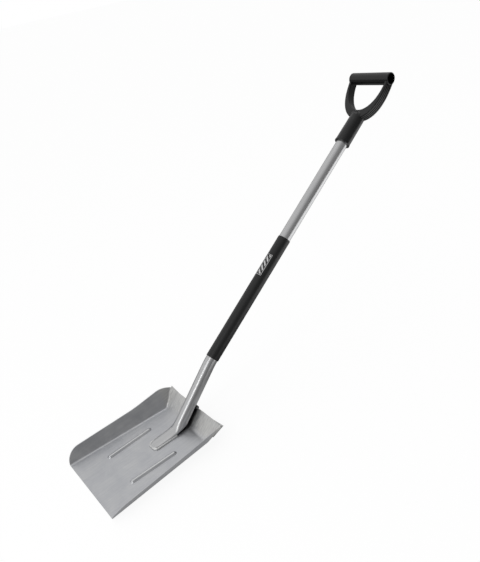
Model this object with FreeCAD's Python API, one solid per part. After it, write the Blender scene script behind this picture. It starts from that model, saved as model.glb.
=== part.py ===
"""Grain scoop shovel: pressed steel pan, bent tube shaft, plastic sleeve and D-handle.

Millimetres. X runs across the pan, Y from the mouth towards the handle, Z up. The pan lies flat
on Z = 0 and X = 0 is the plane of symmetry. The model is drawn with Y = 0 at the cutting edge,
then moved so that the origin is on the pan's underside, BASE_CENTRE_Y behind that edge.
"""
import FreeCAD
import Part

import math
import os

from FreeCAD import Vector

# ---- driving dimensions -------------------------------------------------------------------

# Pan, pressed from one sheet; widths and lengths run to the virtual sharp folds
SHEET = 1.5                      # sheet thickness
MOUTH_HALF_WIDTH = 106.7         # floor at the cutting edge
REAR_HALF_WIDTH = 89.6           # floor at the rear fold
FLOOR_LENGTH = 265.9             # cutting edge to rear fold
SIDE_LEAN = 31.4                 # side walls lean out from vertical, degrees
REAR_SLOPE = 44.8                # rear wall rises from the floor, degrees
SIDE_FOLD_RADIUS = 6.0           # inside radius, floor to side wall
REAR_FOLD_RADIUS = 12.0          # inside radius, floor to rear wall
BASE_CENTRE_Y = 130.0            # origin behind the cutting edge

# Nose of a side wall, seen from the side: a quarter of an ellipse up from the cutting edge
NOSE_LENGTH = 39.5               # cutting edge to the top of the nose
NOSE_HEIGHT = 28.7               # above the floor
NOSE_DROP = 5.5                  # the ellipse's centre lies this far below the floor

# Rim behind the nose: Y, height above the floor and corner radius
RIM = (
    (NOSE_LENGTH, NOSE_HEIGHT, 0.0),
    (192.0, 34.6, 400.0),
    (275.8, 44.3, 66.0),         # crest
    (302.6, 33.5, 12.0),
)
REAR_RIM_HEIGHT = RIM[-1][1]

# Two stiffening beads raised into the pan
BEAD_RISE = 4.8
BEAD_FLANK = 40.0                # slope of its sides, degrees
BEAD_CREST_RADIUS = 3.9
BEAD_FRONT = (54.0, 81.0)        # X and Y of the centre of its front end
BEAD_REAR = (57.0, 190.0)
BEAD_FOOT_RADIUS = 2.6           # where a bead runs out into the floor

# Ears of the side walls, folded behind the rear wall, and the slits in front of them
EAR_INNER_X = 73.0
EAR_FOOT_X = 88.0
EAR_FOOT_HEIGHT = 10.0           # above the floor
EAR_INNER_RISE = 12.0            # its lower edge climbs this much towards the middle
EAR_PROUD = 2.4                  # its outer corner stands above the rear rim
SEAM_GAP = 1.2
SEAM_START = 9.0                 # above the floor
SEAM_FRONT = 2.0                 # the slit reaches this far in front of the rear wall

# Shaft, one bent tube
TUBE_RADIUS = 15.0
TUBE_WALL = 1.5
LOWER_SLOPE = 43.4               # behind the pan, degrees above the floor
UPPER_SLOPE = 35.2               # in the sleeve and above it
RIM_CLEARANCE = 2.2              # tube to rear rim, filled by the weld
FOOT_CLEARANCE = 0.15            # foot to floor
KNEE_RUN = 114.5                 # rim crossing to the corner of the knee
KNEE_RADIUS = 150.0              # centreline radius of the knee
TUBE_END = 710.6                 # upper end, beyond the knee

# Flattened foot, pressed solid. Each row: distance in front of the heel corner, where the underside
# of the lower run would meet the floor, then the width and height of the section
FOOT_SECTIONS = (
    (96.0, 9.0, 4.6),
    (94.5, 17.0, 5.4),
    (91.0, 24.0, 6.0),
    (84.0, 28.6, 6.5),
    (72.0, 30.4, 7.1),
    (58.0, 31.2, 7.8),
    (45.0, 31.8, 8.9),
    (33.0, 32.2, 10.6),
)
HEEL_END = 8.0                   # the round lower run starts this far beyond the heel corner
HEEL_STEPS = 4                   # sections fanned round the heel
RING_POINTS = 24                 # spline points round a section
LOFT_DEGREE = 3                  # of the surface through the sections

# Sleeve and label; places are along the upper shaft from the corner of the knee
SLEEVE_START = 11.2
SLEEVE_LENGTH = 344.4
SLEEVE_RADIUS = 16.4
SLEEVE_EDGE = 0.6                # rounding of its two ends
LABEL_LENGTH = 58.0
LABEL_FROM_TOP = 54.0            # from the sleeve's upper end
LABEL_SPREAD = 52.0              # angle round the sleeve, degrees
LABEL_TURN = 8.0                 # its middle, from the top of the sleeve towards +X, degrees
LABEL_THICKNESS = 0.15

# D-handle: the socket lies along the shaft, the D in its own plane tilted up from it
SOCKET_START = 644.9
SOCKET_MOUTH_RADIUS = 19.8
SOCKET_RADIUS = 18.8             # at the root of the D
SOCKET_LENGTH = 78.2             # mouth to the root of the D
LIP_LENGTH = 3.5
LIP_RISE = 0.6
D_TILT = 15.4                    # degrees
HANDLE_TURN = 2.5                # as pressed on, +X end of the grip turned up, degrees
D_HEIGHT = 104.5                 # root to the grip's axis
D_DEPTH = 25.0                   # front to back
D_SET_BACK = 2.0                 # middle of the arms behind the grip's axis
D_HALF_WIDTH = 62.5              # outside of the arms
D_BOTTOM = 108.5                 # lowest point of the outer bow, below the grip's axis
D_POWER = 2.7                    # how square the outer bow is
OPENING_HALF_WIDTH = 55.3
OPENING_BOTTOM = 85.5
OPENING_POWER = 2.2
BOW_POINTS = 9                   # spline points on each half of a bow
ARM_OUTER_EDGE = 3.8             # rounding of the arms' edges
ARM_INNER_EDGE = 2.6
GRIP_RADIUS = 15.2
GRIP_HALF_WIDTH = 62.9
GRIP_BORE_RADIUS = 12.6
GRIP_EDGE = 2.0
NECK_TOP = 88.0                  # the neck runs out this far below the grip's axis
NECK_TOP_HALF_WIDTH = 30.0
GROOVE_PITCH = 5.6               # three grooves along the outside of the arms
GROOVE_WIDTH = 2.4
GROOVE_DEPTH = 2.4

# Retaining screw through the back of the socket
SCREW_FROM_MOUTH = 30.0
SCREW_RADIUS = 2.1
SCREW_HEAD_RADIUS = 4.2
SCREW_HEAD_HEIGHT = 2.6
SCREW_HEAD_ROUND = 1.5
SCREW_REACH = 8.0                # socket's surface to the screw's point
DRIVE_WIDTH = 1.2
DRIVE_LENGTH = 4.8
DRIVE_DEPTH = 1.4

# Weld beads
FOOT_WELD_RADIUS = 2.2
FOOT_WELD_X = 14.6               # centre of the bead beside the foot
FOOT_CORNER_RADIUS = 12.0        # the bead's bends round the front of the foot
RIM_WELD_RADIUS = 4.2
RIM_WELD_HALF_LENGTH = 9.0
CORNER_WELD_RADIUS = 1.7
CORNER_WELD_LENGTH = 12.0

# ---- derived geometry ---------------------------------------------------------------------

FLOOR = SHEET                    # height of the floor's top face
SIDE_TAN = math.tan(math.radians(SIDE_LEAN))
REAR_TAN = math.tan(math.radians(REAR_SLOPE))
TAPER = (MOUTH_HALF_WIDTH - REAR_HALF_WIDTH) / FLOOR_LENGTH
SIDE_STRETCH = math.sqrt(1 + TAPER ** 2 + SIDE_TAN ** 2)   # across per unit normal to a side
REAR_STRETCH = 1 / math.sin(math.radians(REAR_SLOPE))
ACROSS = Vector(1, 0, 0)
UPWARD = Vector(0, 0, 1)
BEYOND = 900.0                   # far larger than the pan
BLANK_SIZE = 400.0               # block that is cut down to the pan's shape
BLANK_HEIGHT = 70.0
CLEAR = 5.0                      # a cutting shape runs on this far past what it cuts
SINK = 0.8                       # the screw's pieces are drawn this far into each other
BEAD_REACH = 4 * BEAD_RISE       # a bead's edges lie no further than this from its centre line


def slope_vectors(degrees):
    """Unit vector up a slope in the plane X = 0, and the one square to it on the upper side."""
    angle = math.radians(degrees)
    return (Vector(0, math.cos(angle), math.sin(angle)),
            Vector(0, -math.sin(angle), math.cos(angle)))


LOWER_ALONG, LOWER_UP = slope_vectors(LOWER_SLOPE)
UPPER_ALONG, UPPER_UP = slope_vectors(UPPER_SLOPE)
D_ALONG, D_UP = slope_vectors(UPPER_SLOPE + D_TILT)

RIM_POINT = Vector(0, FLOOR_LENGTH + REAR_RIM_HEIGHT / REAR_TAN, FLOOR + REAR_RIM_HEIGHT)
RIM_CROSSING = RIM_POINT + LOWER_UP * (TUBE_RADIUS + RIM_CLEARANCE)
KNEE = RIM_CROSSING + LOWER_ALONG * KNEE_RUN
KNEE_TANGENT = KNEE_RADIUS * math.tan(math.radians((LOWER_SLOPE - UPPER_SLOPE) / 2))
D_ROOT = KNEE + UPPER_ALONG * (SOCKET_START + SOCKET_LENGTH)
GRIP_CENTRE = D_ROOT + D_ALONG * D_HEIGHT

UNDERSIDE = RIM_CROSSING - LOWER_UP * TUBE_RADIUS
FOOT_BASE = FLOOR + FOOT_CLEARANCE
HEEL_CORNER = Vector(0, UNDERSIDE.y - (UNDERSIDE.z - FOOT_BASE) * LOWER_ALONG.y / LOWER_ALONG.z,
                     FOOT_BASE)
SCREW_SEAT = (SOCKET_MOUTH_RADIUS
              - (SOCKET_MOUTH_RADIUS - SOCKET_RADIUS) * SCREW_FROM_MOUTH / SOCKET_LENGTH)


def side_x(y, z, outside=0.0):
    """Half width to a side wall's inner face, moved out by outside."""
    return (MOUTH_HALF_WIDTH - TAPER * y + (z - FLOOR) * SIDE_TAN
            + outside * SIDE_STRETCH)


def rear_y(z, outside=0.0):
    """Y of the rear wall's inner face, moved out by outside."""
    return FLOOR_LENGTH + (z - FLOOR) / REAR_TAN + outside * REAR_STRETCH


def shaft_point(along, up=0.0, across=0.0):
    """A point in the upper shaft's own frame, from the corner of the knee."""
    return KNEE + UPPER_ALONG * along + UPPER_UP * up + ACROSS * across


def d_point(across, below, up=0.0):
    """A point in the plane of the D, below the grip's axis."""
    return GRIP_CENTRE + ACROSS * across - D_ALONG * below + D_UP * up


# ---- small builders -----------------------------------------------------------------------

def face_from(points):
    return Part.Face(Part.makePolygon(list(points) + [points[0]]))


def prism(points, direction):
    return face_from(points).extrude(direction)


def fuse(shapes):
    whole = shapes[0].multiFuse(shapes[1:])
    return whole.removeSplitter()


def spline(points, closed=False):
    curve = Part.BSplineCurve()
    curve.interpolate(Points=list(points), PeriodicFlag=closed)
    return curve.toShape()


def cylinder(start, direction, radius, length):
    return Part.makeCylinder(radius, length, start, direction)


def capsule(start, end, radius):
    """A rod with round ends."""
    along = end - start
    rod = cylinder(start, along, radius, along.Length)
    return rod.fuse([Part.makeSphere(radius, start), Part.makeSphere(radius, end)])


def pipe(edges, radius):
    """A round bar along a smooth run of edges."""
    first = edges[0]
    start = first.valueAt(first.FirstParameter)
    ring = Part.Wire([Part.makeCircle(radius, start, first.tangentAt(first.FirstParameter))])
    return Part.Wire(edges).makePipeShell([ring], True, True)


def beyond_plane(point, outward):
    """All the material beyond a plane."""
    block = Part.makeBox(BEYOND, BEYOND, BEYOND, Vector(-BEYOND / 2, -BEYOND / 2, 0))
    block.Placement = FreeCAD.Placement(point, FreeCAD.Rotation(Vector(0, 0, 1), outward))
    return block


def rounded_outline(corners):
    """Edges through (point, radius) corners, each corner rounded by a tangent arc."""
    edges = []
    last = corners[0][0]
    for (before, _), (corner, radius), (after, _) in zip(corners, corners[1:], corners[2:]):
        inward = (before - corner).normalize()
        outward = (after - corner).normalize()
        half = inward.getAngle(outward) / 2
        reach = radius / math.tan(half)
        start = corner + inward * reach
        end = corner + outward * reach
        middle = (inward + outward).normalize()
        centre = corner + middle * (radius / math.sin(half))
        edges.append(Part.makeLine(last, start))
        edges.append(Part.Arc(start, centre - middle * radius, end).toShape())
        last = end
    edges.append(Part.makeLine(last, corners[-1][0]))
    return edges


# ---- pan ----------------------------------------------------------------------------------

def tray_block(outside, front):
    """The space inside the pan's folded sheet, moved out by outside, with its folds rounded."""
    low = FLOOR - outside
    block = Part.makeBox(BLANK_SIZE, BLANK_SIZE - front, BLANK_HEIGHT,
                         Vector(-BLANK_SIZE / 2, front, low))
    for sign in (-1, 1):
        wall = Vector(sign * side_x(0, FLOOR, outside), 0, FLOOR)
        block = block.cut(beyond_plane(wall, Vector(sign, TAPER, -SIDE_TAN)))
    wall = Vector(0, rear_y(FLOOR, outside), FLOOR)
    block = block.cut(beyond_plane(wall, Vector(0, 1, -1 / REAR_TAN))).Solids[0]

    def floor_edges(solid, at_rear):
        rear = rear_y(low, outside) - REAR_FOLD_RADIUS
        return [e for e in solid.Edges
                if all(abs(v.Z - low) < 0.01 for v in e.Vertexes)
                and e.Curve.TypeId == "Part::GeomLine"
                and e.CenterOfMass.y > front + 1
                and (e.CenterOfMass.y > rear) == at_rear]

    block = block.makeFillet(REAR_FOLD_RADIUS + outside, floor_edges(block, True))
    sides = [e for e in floor_edges(block, False) if abs(e.CenterOfMass.x) > 1]
    return block.makeFillet(SIDE_FOLD_RADIUS + outside, sides)


def side_view_prism():
    """Everything under the rim as it is seen from the side."""
    def at(y, height):
        return Vector(-BLANK_SIZE / 2, y, FLOOR + height)

    start_turn = math.asin(NOSE_DROP / (NOSE_HEIGHT + NOSE_DROP))
    nose_reach = NOSE_LENGTH / math.cos(start_turn)
    nose = Part.Ellipse(at(NOSE_LENGTH - nose_reach, -NOSE_DROP), at(NOSE_LENGTH, NOSE_HEIGHT),
                        at(NOSE_LENGTH, -NOSE_DROP))
    edges = [Part.ArcOfEllipse(nose, start_turn, math.pi / 2).toShape()]
    corners = [(at(y, height), radius) for y, height, radius in RIM]
    corners.append((at(BLANK_SIZE, REAR_RIM_HEIGHT), 0))
    edges += rounded_outline(corners)
    close = [at(BLANK_SIZE, REAR_RIM_HEIGHT), at(BLANK_SIZE, -FLOOR - CLEAR),
             at(0, -FLOOR - CLEAR), edges[0].Vertexes[0].Point]
    edges += [Part.makeLine(a, b) for a, b in zip(close, close[1:])]
    return Part.Face(Part.Wire(edges)).extrude(Vector(BLANK_SIZE, 0, 0))


def bead_bar(sign, inside=0.0):
    """The ridge whose top is a bead, with round ends; inside makes it thinner by that much."""
    start, end = [Vector(sign * x, y, 0) for x, y in (BEAD_FRONT, BEAD_REAR)]
    side = (end - start).cross(UPWARD).normalize()
    flank = math.radians(BEAD_FLANK)
    radius = BEAD_CREST_RADIUS - inside
    centre = FLOOR + BEAD_RISE - BEAD_CREST_RADIUS

    def crest(turn):
        return start + side * (radius * math.sin(turn)) + UPWARD * (centre + radius * math.cos(turn))

    def foot(turn):
        run = (crest(turn).z + SHEET) / math.tan(flank)
        return crest(turn) + side * math.copysign(run, turn) - UPWARD * (crest(turn).z + SHEET)

    half = [Part.Arc(crest(0), crest(flank / 2), crest(flank)).toShape(),
            Part.makeLine(crest(flank), foot(flank)),
            Part.makeLine(foot(flank), start - UPWARD * SHEET),
            Part.makeLine(start - UPWARD * SHEET, crest(0))]
    whole = [Part.Arc(crest(-flank), crest(0), crest(flank)).toShape(),
             Part.makeLine(crest(flank), foot(flank)),
             Part.makeLine(foot(flank), foot(-flank)),
             Part.makeLine(foot(-flank), crest(-flank))]
    near_end = Part.Face(Part.Wire(half)).revolve(start, UPWARD, 360)
    far_end = near_end.translated(end - start)
    return Part.Face(Part.Wire(whole)).extrude(end - start).fuse([near_end, far_end])


def ear(sign):
    """The end of a side wall, folded flat behind the rear wall."""
    def at(x, z):
        return Vector(x, rear_y(z, SHEET), z)

    foot = FLOOR + EAR_FOOT_HEIGHT
    top = FLOOR + REAR_RIM_HEIGHT + EAR_PROUD

    def outer(z):
        return at(sign * side_x(rear_y(z, SHEET), z, SHEET), z)

    outline = [outer(foot), outer(top), at(sign * EAR_INNER_X, FLOOR + REAR_RIM_HEIGHT),
               at(sign * EAR_INNER_X, foot + EAR_INNER_RISE), at(sign * EAR_FOOT_X, foot)]
    back = Vector(0, 1, -1 / REAR_TAN).normalize() * SHEET
    return prism(outline, back)


def seam_slit(sign):
    """The open slit where the rear wall ends just short of a side wall."""
    def at(y, z):
        return Vector(sign * side_x(y, z), y, z)

    low = FLOOR + SEAM_START
    high = FLOOR + REAR_RIM_HEIGHT + 4 * CLEAR
    outline = [at(rear_y(low) - SEAM_FRONT, low), at(rear_y(high) - SEAM_FRONT, high),
               at(rear_y(high, SHEET), high), at(rear_y(low, SHEET), low)]
    return prism(outline, Vector(-sign * SEAM_GAP, 0, 0))


def build_pan():
    sheet = tray_block(SHEET, 0.0).cut(tray_block(0.0, -4 * CLEAR))
    sheet = sheet.common(side_view_prism())
    above = Part.makeBox(BLANK_SIZE, BLANK_SIZE, BLANK_HEIGHT,
                         Vector(-BLANK_SIZE / 2, 0, FLOOR / 2))
    raised = [bead_bar(sign).common(above) for sign in (-1, 1)]
    sheet = fuse([sheet] + raised)
    feet = [e for e in sheet.Edges
            if all(abs(v.Z - FLOOR) < 0.01 for v in e.Vertexes)
            and abs(abs(e.CenterOfMass.x) - BEAD_FRONT[0]) < BEAD_REACH
            and BEAD_FRONT[1] - BEAD_REACH < e.CenterOfMass.y < BEAD_REAR[1] + BEAD_REACH]
    sheet = sheet.makeFillet(BEAD_FOOT_RADIUS, feet)
    for sign in (-1, 1):
        sheet = sheet.cut(bead_bar(sign, SHEET))
        sheet = sheet.cut(seam_slit(sign))
    return fuse([sheet, ear(-1), ear(1)])


# ---- shaft --------------------------------------------------------------------------------

def oval_ring(bottom, top, width, inside):
    """Closed oval wire from bottom to top; inside makes it thinner by that much all round."""
    half_height = (top - bottom) / 2
    half_height = half_height * (1 - inside / half_height.Length)
    half_width = ACROSS * (width / 2 - inside)
    centre = (bottom + top) / 2
    turns = [2 * math.pi * step / RING_POINTS for step in range(RING_POINTS)]
    oval = [centre + half_width * math.cos(turn) + half_height * math.sin(turn) for turn in turns]
    return Part.Wire([spline(oval, closed=True)])


def foot_loft():
    """The flattened foot, from its tip to the front of the heel."""
    rings = []
    for distance, width, height in FOOT_SECTIONS:
        bottom = HEEL_CORNER - Vector(0, distance, 0)
        rings.append(oval_ring(bottom, bottom + UPWARD * height, width, 0.0))
    return Part.makeLoft(rings, True, False, False, LOFT_DEGREE)


def heel_loft(inside):
    """The bend from the foot up into the round tube, in sections fanned round the heel corner."""
    distance, width, height = FOOT_SECTIONS[-1]
    front = HEEL_CORNER - Vector(0, distance, 0)
    end = HEEL_CORNER + LOWER_ALONG * HEEL_END
    front_top = front + UPWARD * height
    end_top = end + LOWER_UP * (2 * TUBE_RADIUS)
    rings = []
    for step in range(HEEL_STEPS):
        share = step / HEEL_STEPS
        bottom = (front * (1 - share) ** 2 + HEEL_CORNER * (2 * share * (1 - share))
                  + end * share ** 2)
        top = front_top + (end_top - front_top) * share
        rings.append(oval_ring(bottom, top, width + (2 * TUBE_RADIUS - width) * share, inside))
    circle = Part.makeCircle(TUBE_RADIUS - inside)
    circle.Placement = FreeCAD.Placement((end + end_top) / 2,
                                         FreeCAD.Rotation(ACROSS, 90 + LOWER_SLOPE))
    rings.append(Part.Wire([circle]))
    return Part.makeLoft(rings, True, False, False, LOFT_DEGREE)


def round_shaft(radius, upper_end):
    """The round part of the shaft: lower run, knee and upper run."""
    heel_end = HEEL_CORNER + LOWER_ALONG * HEEL_END + LOWER_UP * TUBE_RADIUS
    knee_in = KNEE - LOWER_ALONG * KNEE_TANGENT
    knee_out = KNEE + UPPER_ALONG * KNEE_TANGENT
    lower = cylinder(heel_end, LOWER_ALONG, radius, (knee_in - heel_end).Length)
    centre = knee_in - LOWER_UP * KNEE_RADIUS
    disc = Part.Face(Part.Wire([Part.makeCircle(radius, knee_in, LOWER_ALONG)]))
    knee = disc.revolve(centre, ACROSS, UPPER_SLOPE - LOWER_SLOPE)
    upper = cylinder(knee_out, UPPER_ALONG, radius, upper_end - KNEE_TANGENT)
    return [lower, knee, upper]


def shaft_outside():
    return fuse([foot_loft(), heel_loft(0.0)] + round_shaft(TUBE_RADIUS, TUBE_END))


def build_shaft(outside, screw_hole):
    bore = TUBE_RADIUS - TUBE_WALL
    hollow = fuse([heel_loft(TUBE_WALL)] + round_shaft(bore, TUBE_END + 1))
    return outside.cut(hollow).cut(screw_hole)


# ---- sleeve and label ---------------------------------------------------------------------

def build_sleeve():
    start = shaft_point(SLEEVE_START)
    outer = cylinder(start, UPPER_ALONG, SLEEVE_RADIUS, SLEEVE_LENGTH)
    rims = [e for e in outer.Edges if e.Curve.TypeId == "Part::GeomCircle"]
    outer = outer.makeFillet(SLEEVE_EDGE, rims)
    return outer.cut(cylinder(start, UPPER_ALONG, TUBE_RADIUS, SLEEVE_LENGTH))


def build_label():
    """A thin film that follows the sleeve."""
    start = SLEEVE_START + SLEEVE_LENGTH - LABEL_FROM_TOP - LABEL_LENGTH

    def at(radius, share):
        angle = math.radians(LABEL_TURN + LABEL_SPREAD * (share - 0.5))
        return shaft_point(start, radius * math.cos(angle), radius * math.sin(angle))

    outer = SLEEVE_RADIUS + LABEL_THICKNESS
    edges = [
        Part.Arc(at(outer, 0), at(outer, 0.5), at(outer, 1)).toShape(),
        Part.makeLine(at(outer, 1), at(SLEEVE_RADIUS, 1)),
        Part.Arc(at(SLEEVE_RADIUS, 1), at(SLEEVE_RADIUS, 0.5), at(SLEEVE_RADIUS, 0)).toShape(),
        Part.makeLine(at(SLEEVE_RADIUS, 0), at(outer, 0)),
    ]
    return Part.Face(Part.Wire(edges)).extrude(UPPER_ALONG * LABEL_LENGTH)


# ---- D-handle -----------------------------------------------------------------------------

def bow_prism(half_width, bottom, power, depth):
    """The area above a bow, from the grip's axis down, as a slab centred in the arms."""
    def at(turn):
        below = bottom * math.sin(turn)
        across = half_width * math.sqrt(max(0.0, 1 - (below / bottom) ** power))
        return below, across

    turns = [math.pi / 2 * step / BOW_POINTS for step in range(BOW_POINTS + 1)]
    back = -D_SET_BACK - depth / 2
    right = [d_point(across, below, back) for below, across in map(at, turns)]
    left = [d_point(-across, below, back) for below, across in map(at, turns[-2::-1])]
    bow = spline(right + left)
    top = Part.makeLine(left[-1], right[0])
    return Part.Face(Part.Wire([bow, top])).extrude(D_UP * depth)


def neck():
    """Runs from the round root into the flat of the D."""
    start = Part.Wire([Part.makeCircle(SOCKET_RADIUS, D_ROOT, D_ALONG)])
    centre = d_point(0, NECK_TOP, -D_SET_BACK)
    top = Part.Ellipse(centre + ACROSS * NECK_TOP_HALF_WIDTH, centre + D_UP * (D_DEPTH / 2), centre)
    return Part.makeLoft([start, Part.Wire([top.toShape()])], True)


def bow_edges(shape, half_width):
    """The long edges of a bow of that half width."""
    return [e for e in shape.Edges if e.Curve.TypeId == "Part::GeomBSplineCurve"
            and e.Length > half_width and abs(e.BoundBox.XMax - half_width) < 1]


def build_arms():
    """Both arms of the D and the bow that joins them, with grooves along their outside."""
    frame = bow_prism(D_HALF_WIDTH, D_BOTTOM, D_POWER, D_DEPTH)
    frame = frame.makeFillet(ARM_OUTER_EDGE, bow_edges(frame, D_HALF_WIDTH))
    frame = frame.cut(bow_prism(OPENING_HALF_WIDTH, OPENING_BOTTOM, OPENING_POWER, 2 * D_DEPTH))
    frame = frame.makeFillet(ARM_INNER_EDGE, bow_edges(frame, OPENING_HALF_WIDTH))
    for step in (-1, 0, 1):
        groove = bow_prism(D_HALF_WIDTH + CLEAR, D_BOTTOM + CLEAR, D_POWER, GROOVE_WIDTH)
        groove = groove.cut(bow_prism(D_HALF_WIDTH - GROOVE_DEPTH, D_BOTTOM - GROOVE_DEPTH,
                                      D_POWER, 2 * GROOVE_WIDTH))
        groove.translate(D_UP * (step * GROOVE_PITCH))
        frame = frame.cut(groove)
    return frame


def socket_body():
    return Part.makeCone(SOCKET_MOUTH_RADIUS, SOCKET_RADIUS, SOCKET_LENGTH,
                         shaft_point(SOCKET_START), UPPER_ALONG)


def build_handle(screw_hole):
    grip = cylinder(d_point(-GRIP_HALF_WIDTH, 0), ACROSS, GRIP_RADIUS, 2 * GRIP_HALF_WIDTH)
    grip = grip.makeFillet(GRIP_EDGE, [e for e in grip.Edges
                                       if e.Curve.TypeId == "Part::GeomCircle"])
    mouth = shaft_point(SOCKET_START)
    lip = cylinder(mouth, UPPER_ALONG, SOCKET_MOUTH_RADIUS + LIP_RISE, LIP_LENGTH)
    root = Part.makeSphere(SOCKET_RADIUS, D_ROOT)
    handle = fuse([build_arms(), grip, neck(), root, socket_body(), lip])
    bore = cylinder(d_point(-GRIP_HALF_WIDTH - 1, 0), ACROSS, GRIP_BORE_RADIUS,
                    2 * GRIP_HALF_WIDTH + 2)
    handle = handle.cut(bore)
    handle.rotate(KNEE, UPPER_ALONG, -HANDLE_TURN)
    seat = cylinder(mouth, UPPER_ALONG, TUBE_RADIUS, TUBE_END - SOCKET_START)
    return handle.cut(seat).cut(screw_hole)


def screw_shank():
    start = shaft_point(SOCKET_START + SCREW_FROM_MOUTH, -SCREW_SEAT - SINK)
    return cylinder(start, UPPER_UP, SCREW_RADIUS, SCREW_REACH + SINK)


def build_screw():
    surface = shaft_point(SOCKET_START + SCREW_FROM_MOUTH, -SCREW_SEAT)
    head = cylinder(surface - UPPER_UP * SCREW_HEAD_HEIGHT, UPPER_UP, SCREW_HEAD_RADIUS,
                    SCREW_HEAD_HEIGHT + SINK)
    outer_rim = [e for e in head.Edges if e.Curve.TypeId == "Part::GeomCircle"
                 and (e.CenterOfMass - surface).Length > SCREW_HEAD_HEIGHT / 2]
    head = head.makeFillet(SCREW_HEAD_ROUND, outer_rim)
    screw = fuse([head.cut(socket_body()), screw_shank()])
    slot_floor = surface - UPPER_UP * SCREW_HEAD_HEIGHT
    for first, second in ((DRIVE_LENGTH, DRIVE_WIDTH), (DRIVE_WIDTH, DRIVE_LENGTH)):
        corners = [slot_floor + ACROSS * (a * first / 2) + UPPER_ALONG * (b * second / 2)
                   for a, b in ((-1, -1), (1, -1), (1, 1), (-1, 1))]
        screw = screw.cut(prism(corners, UPPER_UP * DRIVE_DEPTH))
    return screw


# ---- welds --------------------------------------------------------------------------------

def build_foot_weld(pan, shaft):
    """A bead round the foot, where the tube meets the floor."""
    tip, last = FOOT_SECTIONS[0][0], FOOT_SECTIONS[-1][0]

    def at(across, distance):
        return Vector(across, HEEL_CORNER.y - distance, FLOOR)

    bead = pipe(rounded_outline([
        (at(FOOT_WELD_X, last), 0),
        (at(FOOT_WELD_X, tip), FOOT_CORNER_RADIUS),
        (at(-FOOT_WELD_X, tip), FOOT_CORNER_RADIUS),
        (at(-FOOT_WELD_X, last), 0),
    ]), FOOT_WELD_RADIUS)
    return bead.cut(shaft).cut(pan)


def build_rim_weld(pan, shaft):
    """A short bead under the tube, along the back of the rear rim."""
    z = RIM_POINT.z
    centre = Vector(0, rear_y(z, SHEET), z)
    bead = capsule(centre - ACROSS * RIM_WELD_HALF_LENGTH, centre + ACROSS * RIM_WELD_HALF_LENGTH,
                   RIM_WELD_RADIUS)
    return bead.cut(shaft).cut(pan)


def build_corner_weld(sign, pan):
    """A tack down the top of a corner seam, on the inside."""
    def seam(z):
        return Vector(sign * side_x(rear_y(z), z), rear_y(z), z)

    top = seam(RIM_POINT.z - CORNER_WELD_RADIUS)
    foot = seam(RIM_POINT.z - CORNER_WELD_LENGTH)
    return capsule(foot, top, CORNER_WELD_RADIUS).cut(pan)


# ---- assembly -----------------------------------------------------------------------------

def largest_solid(shape):
    return max(shape.Solids, key=lambda solid: solid.Volume)


def build_nodes():
    pan = build_pan()
    shank = screw_shank()
    shaft_solid = shaft_outside()
    return {
        "pan": pan,
        "shaft_tube": build_shaft(shaft_solid, shank),
        "foot_weld": build_foot_weld(pan, shaft_solid),
        "rim_weld": build_rim_weld(pan, shaft_solid),
        "corner_weld_left": build_corner_weld(-1, pan),
        "corner_weld_right": build_corner_weld(1, pan),
        "grip_sleeve": build_sleeve(),
        "sleeve_label": build_label(),
        "d_handle": build_handle(shank),
        "handle_screw": build_screw(),
    }


def main():
    os.makedirs("parts", exist_ok=True)
    for name, shape in build_nodes().items():
        shape = largest_solid(shape)
        shape.translate(Vector(0, -BASE_CENTRE_Y, 0))
        shape.exportStep("parts/" + name + ".step")
        box = shape.BoundBox
        print("%-18s valid %s  volume %9.1f  x %7.1f..%6.1f  y %7.1f..%6.1f  z %6.1f..%6.1f" % (
            name, shape.isValid(), shape.Volume, box.XMin, box.XMax, box.YMin, box.YMax,
            box.ZMin, box.ZMax))


if __name__ == "__main__":
    main()
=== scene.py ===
"""Grain scoop shovel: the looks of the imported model, in metres, in the frame of the CAD."""

import math

import bpy
from mathutils import Matrix, Vector


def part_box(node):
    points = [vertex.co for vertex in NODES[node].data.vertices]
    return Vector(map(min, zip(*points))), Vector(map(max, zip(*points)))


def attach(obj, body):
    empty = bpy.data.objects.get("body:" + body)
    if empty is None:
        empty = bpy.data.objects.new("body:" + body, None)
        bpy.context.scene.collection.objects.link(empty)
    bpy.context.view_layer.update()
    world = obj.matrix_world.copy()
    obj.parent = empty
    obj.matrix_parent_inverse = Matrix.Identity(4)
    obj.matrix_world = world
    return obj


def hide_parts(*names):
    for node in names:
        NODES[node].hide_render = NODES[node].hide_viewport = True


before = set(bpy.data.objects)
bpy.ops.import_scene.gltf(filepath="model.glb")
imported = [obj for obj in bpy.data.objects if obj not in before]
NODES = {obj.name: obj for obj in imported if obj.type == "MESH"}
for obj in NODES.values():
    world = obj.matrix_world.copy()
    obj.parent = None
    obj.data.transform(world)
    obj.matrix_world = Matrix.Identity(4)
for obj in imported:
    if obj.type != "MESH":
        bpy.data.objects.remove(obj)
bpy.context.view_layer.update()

# Camera, placed where the picture was taken from
CAMERA_AT = Vector((0.9879, -0.2810, 0.9423))
CAMERA_AIM = Vector((0.0, 0.3678, 0.2786))
CAMERA_ROLL = 12.1                # degrees
CAMERA_LENS = 36.21
CAMERA_SHIFT = (0.0034, 0.0082)
CAMERA_CLIP = (0.05, 200)

# Studio: a large soft source at the upper left, which fades towards the right
SOFTBOX_TOWARDS = (-0.7, -0.4, 0.6)
SOFTBOX_FADE = (-0.35, 0.85)      # share of that direction, from darkest to brightest
SOFTBOX_STRENGTH = 0.78           # at its brightest
HORIZON = (-0.05, 0.35)           # heights between which the unlit side brightens
HORIZON_STRENGTH = (0.16, 0.30)

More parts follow.
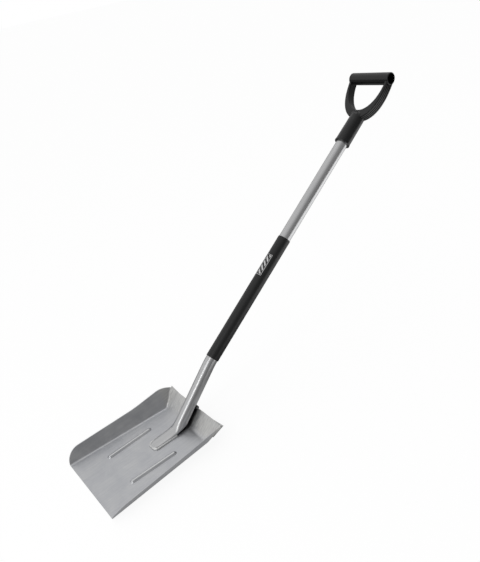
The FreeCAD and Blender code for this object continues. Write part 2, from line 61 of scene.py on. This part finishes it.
# Area lights: name, place, aim, size, power
LIGHTS = (
    ("front_strip", (0.36, -1.2, 1.15), (0, 0.25, 0.15), (0.40, 1.0), 3.0),
    ("top_light", (-0.6, 1.25, 2.9), (0, 0.05, 0), (0.9, 0.9), 2.6),
)

FLOOR_REACH = 40.0                # from its middle to each side
FLOOR_DROP = 0.0005               # it lies this far below the pan, clear of its underside
FLOOR_WHITE = 0.90                # glow of the floor as the camera sees it
FLOOR_GREY_SEEN = (0.14, 0.14, 0.14)      # its colour below that glow
FLOOR_GREY_UNSEEN = (0.35, 0.35, 0.35)    # and as the shovel sees it
# Pools of light on the floor, as the shovel sees them: centre, radius where the pool is full,
# radius where it ends, strength
FLOOR_POOLS = (
    ((1.0, 1.3, 0), 0.85, 1.28, 1.1),
    ((0.05, 0.03, 0), 0.17, 0.27, 0.28),
)

# Pan
REAR_FOLD_Y = (0.132, 0.144)      # from the rear wall's foot, its lines grow stronger over this
BEAD_REACH_X = 0.075              # both of the pan's beads lie within these
BEAD_REACH_Y = 0.075
BEAD_HIGHLIGHT_Z = (0.0048, 0.0060)    # their crests get a painted highlight above this
# Painted shade: the rear wall is darkened along both sides of the tube, where the gap under it
# lies in shade. The darkening fades out between the first pair at its sides and between the
# second at its front, and clouds move its side edges by the third.
PAINTED_SHADE_X = (0.0115, 0.0168)
PAINTED_SHADE_Y = (0.094, 0.112)
PAINTED_SHADE_UNEVEN = (-0.0015, 0.0015)

# The label's mark: half its size across and along
LABEL_FRAME = (0.0062, 0.0280)    # inside of the frame
LABEL_FIELD = (0.0048, 0.0262)    # what the bars fill
LABEL_WAVES = 2 * math.pi / 0.0125        # one bar to a wave of this length
LABEL_BAR_LEVEL = 0.1             # a bar is where its wave is above this
LABEL_SLANT = 1.1
UPPER_SLOPE = math.radians(35.2)  # of the shaft behind the knee

# The weld bead round the foot
WELD_RADIUS = 0.0034
WELD_FRONT = 0.0030               # centre line of its front, behind the front of the CAD weld
WELD_HALF_WIDTH = 0.0152          # between the two runs
WELD_HEIGHT = 0.0024              # of its centre line
WELD_FOOT = 0.0010                # it ends inside the pan's sheet
WELD_CORNER = 0.010
WELD_RIPPLE = 0.0021              # length of one ripple
RIPPLE_START = 0.78               # share of the radius where a ripple starts
RIPPLE_SWELL = 0.20               # and how much is added by its end
WELD_TIP = 0.35                   # share of the radius at the bead's two ends
WELD_TAPER = 1 / 36               # share of the bead's points in each tapered end
WELD_LEAN = 0.55                  # ripples lean back by this share of their height
WELD_SIDES = 12                   # of its section
RUN_STEPS, TURN_STEPS, FLAT_STEPS = 80, 24, 6


# ---- shader helpers -----------------------------------------------------------------------

class Shader:
    """A node tree whose nodes are made by short calls."""

    def __init__(self, tree, coordinate):
        self.tree = tree
        self.place = self.node("ShaderNodeTexCoord").outputs[coordinate]

    def feed(self, socket, value):
        """Link another socket to this one, or set it to a number, vector or colour."""
        if isinstance(value, bpy.types.NodeSocket):
            self.tree.links.new(value, socket)
        else:
            socket.default_value = value

    def node(self, kind, inputs=None, **settings):
        made = self.tree.nodes.new(kind)
        for name, value in settings.items():
            setattr(made, name, value)
        for name, value in (inputs or {}).items():
            self.feed(made.inputs[name], value)
        return made

    def mapped(self, scale=(1, 1, 1), turn=(0, 0, 0), move=(0, 0, 0)):
        return self.node("ShaderNodeMapping", {
            "Vector": self.place, "Scale": scale, "Rotation": turn, "Location": move,
        }).outputs["Vector"]

    def noise(self, scale, detail=3.0, rough=0.5, distort=0.0, place=None):
        return self.node("ShaderNodeTexNoise", {
            "Vector": place or self.place, "Scale": scale, "Detail": detail,
            "Roughness": rough, "Distortion": distort,
        }).outputs["Fac"]

    def axis(self, name, place=None):
        return self.node("ShaderNodeSeparateXYZ", {0: place or self.place}).outputs[name]

    def distance(self, centre):
        return self.node("ShaderNodeVectorMath", {0: self.place, 1: centre},
                         operation="DISTANCE").outputs["Value"]

    def facing(self, direction):
        return self.node("ShaderNodeVectorMath", {0: self.place, 1: direction},
                         operation="DOT_PRODUCT").outputs["Value"]

    def camera_ray(self):
        return self.node("ShaderNodeLightPath").outputs["Is Camera Ray"]

    def ramp(self, value, low, high, out_low=0.0, out_high=1.0, **settings):
        """Carry the value from low..high to out_low..out_high, and hold it there beyond."""
        return self.node("ShaderNodeMapRange", {
            "Value": value, "From Min": low, "From Max": high,
            "To Min": out_low, "To Max": out_high,
        }, **settings).outputs["Result"]

    def spread(self, share, out_low, out_high):
        """Carry a share of 0..1 to out_low..out_high."""
        return self.ramp(share, 0, 1, out_low, out_high)

    def math(self, operation, first, second=0.0):
        return self.node("ShaderNodeMath", {0: first, 1: second},
                         operation=operation).outputs["Value"]

    def within(self, value, limit):
        return self.math("LESS_THAN", value, limit)

    def beyond(self, value, limit):
        return self.math("GREATER_THAN", value, limit)

    def both(self, first, second):
        return self.math("MULTIPLY", first, second)

    def either(self, first, second):
        return self.math("MAXIMUM", first, second)

    def mix(self, share, low, high):
        made = self.node("ShaderNodeMix", data_type="RGBA")
        for name, value in (("Factor_Float", share), ("A_Color", low), ("B_Color", high)):
            socket = next(s for s in made.inputs if s.identifier == name)
            self.feed(socket, (*value, 1.0) if isinstance(value, tuple) else value)
        return next(s for s in made.outputs if s.identifier == "Result_Color")

    def bump(self, height, distance, strength=1.0, below=None):
        made = self.node("ShaderNodeBump", {
            "Height": height, "Distance": distance, "Strength": strength})
        if below:
            self.feed(made.inputs["Normal"], below)
        return made.outputs["Normal"]


class Material(Shader):
    """A Principled surface; its sockets are given by name, with _ for a space."""

    def __init__(self, name, **surface):
        self.material = bpy.data.materials.new(name)
        self.material.use_nodes = True
        super().__init__(self.material.node_tree, "Object")
        self.set(**surface)

    def set(self, **surface):
        principled = self.tree.nodes["Principled BSDF"]
        for socket, value in surface.items():
            self.feed(principled.inputs[socket.replace("_", " ")], value)


# ---- materials ----------------------------------------------------------------------------

def pan_steel():
    """Cold-rolled sheet: cloudy, with lines along the pan that show most up its rear wall."""
    m = Material("pan_steel", Metallic=1.0)
    clouds = m.ramp(m.noise(22, detail=4, rough=0.6, distort=0.6), 0.36, 0.64)
    lines = m.ramp(m.noise(1, detail=5, rough=0.6, place=m.mapped((330, 14, 60))), 0.32, 0.68)

    plain = m.mix(clouds, (0.485, 0.497, 0.53), (0.565, 0.575, 0.605))
    lined = m.mix(lines, (0.50, 0.50, 0.49), (0.74, 0.735, 0.71))
    at_rear = m.ramp(m.axis("Y"), *REAR_FOLD_Y)
    share = m.math("ADD", m.spread(at_rear, 0.22, 0.75), m.spread(clouds, 0.0, 0.12))
    sheet = m.mix(share, plain, lined)

    beads = m.both(m.within(m.math("ABSOLUTE", m.axis("X")), BEAD_REACH_X),
                   m.within(m.axis("Y"), BEAD_REACH_Y))
    # Painted highlight: the bead crests are made paler above a height, in place of the light
    # they catch.
    wear_and_sheen = m.both(beads, m.ramp(m.axis("Z"), *BEAD_HIGHLIGHT_Z))
    highlit_sheet = m.mix(wear_and_sheen, sheet, (0.70, 0.705, 0.71))

    # Painted shade: a near-black band beside the tube on the rear wall, standing in for the
    # shaded gap under it.
    from_tube = m.math("ADD", m.math("ABSOLUTE", m.axis("X")), m.spread(clouds, *PAINTED_SHADE_UNEVEN))
    painted_shade = m.both(m.ramp(from_tube, *PAINTED_SHADE_X, 1, 0), m.ramp(m.axis("Y"), *PAINTED_SHADE_Y))
    m.set(Base_Color=m.mix(painted_shade, highlit_sheet, (0.13, 0.13, 0.132)))

    m.set(Roughness=m.math("ADD", m.spread(clouds, 0.33, 0.41), m.spread(lines, -0.03, 0.04)))
    dents = m.bump(m.noise(26, detail=3, rough=0.55), distance=0.0012, strength=0.30)
    m.set(Normal=m.bump(lines, distance=0.00003, strength=0.5, below=dents))
    return m.material


def tube_steel():
    """Drawn tube, with fine lines along it."""
    m = Material("tube_steel", Metallic=1.0)
    drawn = m.noise(1, detail=4, rough=0.6, place=m.mapped((420, 6, 6)))
    m.set(Base_Color=m.mix(m.ramp(drawn, 0.3, 0.7), (0.50, 0.505, 0.51), (0.60, 0.60, 0.605)))
    m.set(Roughness=m.ramp(m.noise(30), 0.3, 0.7, 0.27, 0.33))
    m.set(Normal=m.bump(drawn, distance=0.00002, strength=0.4))
    return m.material


def weld_steel(name, dark, bright):
    """Weld metal, grainy between two greys."""
    m = Material(name, Metallic=1.0)
    grain = m.noise(500)
    m.set(Base_Color=m.mix(grain, dark, bright))
    m.set(Roughness=m.ramp(grain, 0.3, 0.7, 0.32, 0.50))
    m.set(Normal=m.bump(grain, distance=0.0002, strength=0.4))
    return m.material


def black_plastic(name, colour, rough, grain_size):
    """Moulded plastic, finely grained, paler and rougher where it is worn."""
    m = Material(name, Specular_IOR_Level=0.5)
    wear_and_sheen = m.ramp(m.noise(35, detail=4, rough=0.6), 0.35, 0.7)
    worn_colour = tuple(1.45 * part for part in colour)
    m.set(Base_Color=m.mix(wear_and_sheen, colour, worn_colour))
    m.set(Roughness=m.spread(wear_and_sheen, rough - 0.05, rough + 0.07))
    grain = m.noise(1 / grain_size, detail=3, rough=0.6)
    m.set(Normal=m.bump(grain, distance=0.00004, strength=0.5))
    return m.material


def label_film():
    """A plain mark: a silver frame round slanted silver bars, on black film."""
    m = Material("label_film")
    low, high = [Vector(corner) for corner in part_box("sleeve_label")]
    middle = (low + high) / 2
    along_middle = middle.y * math.cos(UPPER_SLOPE) + middle.z * math.sin(UPPER_SLOPE)
    on_label = m.mapped(turn=(-UPPER_SLOPE, 0, 0), move=(-middle.x, -along_middle, 0))
    across, along = m.axis("X", on_label), m.axis("Y", on_label)
    from_middle = (m.math("ABSOLUTE", across), m.math("ABSOLUTE", along))

    edge = m.either(*[m.beyond(d, limit) for d, limit in zip(from_middle, LABEL_FRAME)])
    field = m.both(*[m.within(d, limit) for d, limit in zip(from_middle, LABEL_FIELD)])
    slanted = m.math("ADD", along, m.math("MULTIPLY", across, LABEL_SLANT))
    waves = m.math("SINE", m.math("MULTIPLY", slanted, LABEL_WAVES))
    silver = m.either(edge, m.both(m.beyond(waves, LABEL_BAR_LEVEL), field))

    fleck = m.mix(m.noise(900, detail=2), (0.62, 0.62, 0.62), (0.80, 0.80, 0.80))
    m.set(Base_Color=m.mix(silver, (0.008, 0.008, 0.009), fleck))
    m.set(Metallic=m.spread(silver, 0.0, 0.6))
    m.set(Roughness=m.spread(silver, 0.45, 0.33))
    return m.material


def screw_zinc():
    """Zinc plating, faintly cloudy."""
    m = Material("screw_zinc", Metallic=1.0)
    cloud = m.noise(700)
    m.set(Base_Color=m.mix(cloud, (0.45, 0.45, 0.44), (0.62, 0.62, 0.60)))
    m.set(Roughness=m.ramp(cloud, 0.3, 0.7, 0.22, 0.34))
    return m.material


def dress_cad():
    """Give each CAD node that shows its material. The foot's weld is replaced by a bead."""
    corner_weld = weld_steel("weld_steel", (0.45, 0.45, 0.45), (0.80, 0.80, 0.79))
    # The rim weld is made near black: painted shade in the gap beside the tube.
    rim_weld = weld_steel("shaded_rim_weld", (0.10, 0.10, 0.10), (0.22, 0.22, 0.22))
    sleeve = black_plastic("sleeve_plastic", (0.004, 0.0042, 0.0045), rough=0.40,
                           grain_size=0.0009)
    handle = black_plastic("handle_plastic", (0.003, 0.0031, 0.0034), rough=0.29,
                           grain_size=0.0011)
    for node, material in (("pan", pan_steel()), ("shaft_tube", tube_steel()),
                           ("rim_weld", rim_weld), ("corner_weld_left", corner_weld),
                           ("corner_weld_right", corner_weld), ("grip_sleeve", sleeve),
                           ("d_handle", handle), ("sleeve_label", label_film()),
                           ("handle_screw", screw_zinc())):
        materials = NODES[node].data.materials
        materials.clear()
        materials.append(material)


# ---- foot weld ----------------------------------------------------------------------------

def link_new(name, data):
    made = bpy.data.objects.new(name, data)
    bpy.context.scene.collection.objects.link(made)
    return made


def weld_path():
    """Centre line of the U round the foot, from its rear end at high X round to the other."""
    low, high = [Vector(corner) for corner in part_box("foot_weld")]
    front = low.y + WELD_FRONT
    turn_y = front + WELD_CORNER
    turn_x = WELD_HALF_WIDTH - WELD_CORNER
    half = []
    for step in range(RUN_STEPS):
        half.append((WELD_HALF_WIDTH, high.y + (turn_y - high.y) * step / RUN_STEPS))
    for step in range(TURN_STEPS):
        turn = math.pi / 2 * step / TURN_STEPS
        half.append((turn_x + WELD_CORNER * math.cos(turn),
                     turn_y - WELD_CORNER * math.sin(turn)))
    for step in range(FLAT_STEPS):
        half.append((turn_x - turn_x * step / FLAT_STEPS, front))
    other_half = [(-x, y) for x, y in reversed(half)]
    return [Vector((x, y, WELD_HEIGHT)) for x, y in half + [(0, front)] + other_half]


def build_foot_weld():
    """The bead as it was laid: overlapping ripples that lean back along its run."""
    path = weld_path()
    last = len(path) - 1
    verts = []
    run = 0.0
    for i, point in enumerate(path):
        ahead = (path[min(i + 1, last)] - path[max(i - 1, 0)]).normalized()
        sideways = ahead.cross(Vector((0, 0, 1)))
        if i:
            run += (point - path[i - 1]).length
        ripple = RIPPLE_START + RIPPLE_SWELL * (run / WELD_RIPPLE % 1.0)
        from_end = min(1.0, min(i, last - i) / (len(path) * WELD_TAPER))
        taper = WELD_TIP + (1 - WELD_TIP) * math.sqrt(from_end)
        radius = WELD_RADIUS * ripple * taper
        for side in range(WELD_SIDES):
            turn = 2 * math.pi * side / WELD_SIDES
            across, up = radius * math.cos(turn), radius * math.sin(turn)
            vert = point + sideways * across - ahead * (WELD_LEAN * up)
            vert.z = max(point.z + up, WELD_FOOT)
            verts.append(vert)
    faces = []
    for ring in range(0, last * WELD_SIDES, WELD_SIDES):
        for side in range(WELD_SIDES):
            here, beside = ring + side, ring + (side + 1) % WELD_SIDES
            faces.append((here, beside, beside + WELD_SIDES, here + WELD_SIDES))
    faces.append(tuple(range(WELD_SIDES)))
    faces.append(tuple(reversed(range(last * WELD_SIDES, len(verts)))))
    mesh = bpy.data.meshes.new("foot_weld_bead")
    mesh.from_pydata(verts, [], faces)
    for face in mesh.polygons:
        face.use_smooth = True
    mesh.materials.append(weld_steel("weld_bead", (0.60, 0.60, 0.60), (0.92, 0.92, 0.91)))
    bead = link_new("foot_weld_bead", mesh)
    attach(bead, "root")
    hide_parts("foot_weld")


# ---- studio -------------------------------------------------------------------------------

def build_floor():
    """A floor that is nearly white to the camera, with a trace of shadow, and grey with two
    pools of light to the shovel."""
    mesh = bpy.data.meshes.new("studio_floor")
    corners = [(FLOOR_REACH * x, FLOOR_REACH * y, 0) for x, y in
               ((-1, -1), (1, -1), (1, 1), (-1, 1))]
    mesh.from_pydata(corners, [], [(0, 1, 2, 3)])
    floor = link_new("studio_floor", mesh)
    floor.location.z = -FLOOR_DROP
    m = Material("studio_floor", Roughness=0.9, Specular_IOR_Level=0.0,
                 Emission_Color=(1, 1, 1, 1))
    seen = m.camera_ray()
    m.set(Base_Color=m.mix(seen, FLOOR_GREY_UNSEEN, FLOOR_GREY_SEEN))
    pools = [m.ramp(m.distance(centre), full, end, strength, 0.0)
             for centre, full, end, strength in FLOOR_POOLS]
    unseen = m.math("MULTIPLY", m.math("ADD", *pools), m.math("SUBTRACT", 1.0, seen))
    m.set(Emission_Strength=m.math("ADD", unseen, m.math("MULTIPLY", seen, FLOOR_WHITE)))
    mesh.materials.append(m.material)


def build_world():
    """Plain white for the camera; for the shovel, soft light that fades from left to right."""
    world = bpy.data.worlds.new("studio")
    world.use_nodes = True
    bpy.context.scene.world = world
    sky = Shader(world.node_tree, "Generated")
    unlit = sky.ramp(sky.axis("Z"), *HORIZON, *HORIZON_STRENGTH)
    light = sky.ramp(sky.facing(Vector(SOFTBOX_TOWARDS).normalized()), *SOFTBOX_FADE,
                     unlit, SOFTBOX_STRENGTH, interpolation_type="SMOOTHSTEP")
    background = world.node_tree.nodes["Background"]
    sky.feed(background.inputs["Color"], (1, 1, 1, 1))
    sky.feed(background.inputs["Strength"], sky.spread(sky.camera_ray(), light, 1.0))


def build_lights():
    for name, place, aim, size, power in LIGHTS:
        light = bpy.data.lights.new(name, "AREA")
        light.shape = "RECTANGLE"
        light.size, light.size_y = size
        light.energy = power
        lamp = link_new(name, light)
        lamp.location = place
        lamp.rotation_euler = (Vector(aim) - Vector(place)).to_track_quat("-Z", "Y").to_euler()
        lamp.visible_camera = False


def build_camera():
    camera = link_new("camera", bpy.data.cameras.new("camera"))
    camera.data.lens = CAMERA_LENS
    camera.data.shift_x, camera.data.shift_y = CAMERA_SHIFT
    camera.data.clip_start, camera.data.clip_end = CAMERA_CLIP
    camera.location = CAMERA_AT
    turn = (CAMERA_AIM - CAMERA_AT).to_track_quat("-Z", "Y").to_matrix()
    roll = Matrix.Rotation(math.radians(-CAMERA_ROLL), 3, "Z")
    camera.rotation_euler = (turn @ roll).to_euler()
    bpy.context.scene.camera = camera


dress_cad()
build_foot_weld()
build_floor()
build_world()
build_lights()
build_camera()
bpy.context.scene.view_settings.view_transform = "Standard"
